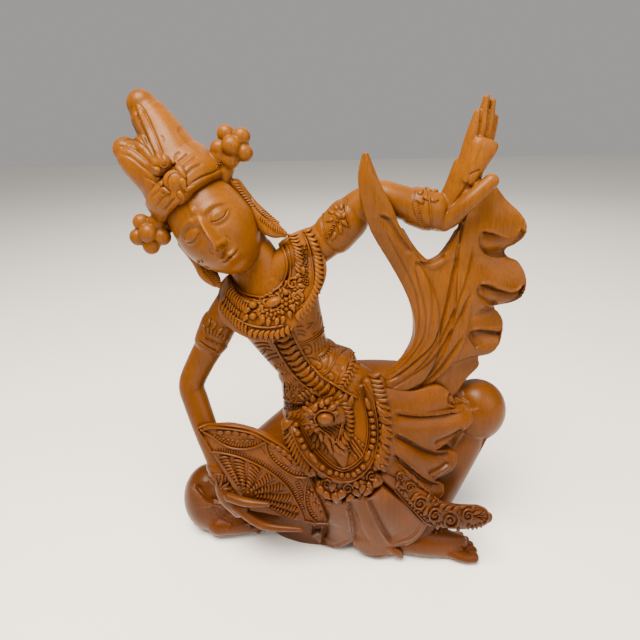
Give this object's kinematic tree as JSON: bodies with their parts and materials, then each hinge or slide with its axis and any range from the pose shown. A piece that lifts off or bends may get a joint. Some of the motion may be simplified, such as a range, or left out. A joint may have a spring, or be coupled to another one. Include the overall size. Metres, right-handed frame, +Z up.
{
  "type": "legong dancer carving",
  "caption": "Carved wooden figure of a half-kneeling legong dancer with a leaf crown, an open fan and a long ruffled scarf lifted by the raised hand; a free-standing ornament.",
  "frame": {"origin": "on the surface it stands on, under the middle of the figure's width and depth", "axes": "+Z up, -Y towards the viewer it is carved for, +X to the viewer's right (the dancer's left)"},
  "size_m": [0.2622, 0.0825, 0.34],
  "materials": {
    "wood": "satin varnish over warm orange-brown hardwood, darker stain in the cuts"
  },
  "bodies": {
    "root": {"legong_dancer": "wood"}
  },
  "joints": []
}
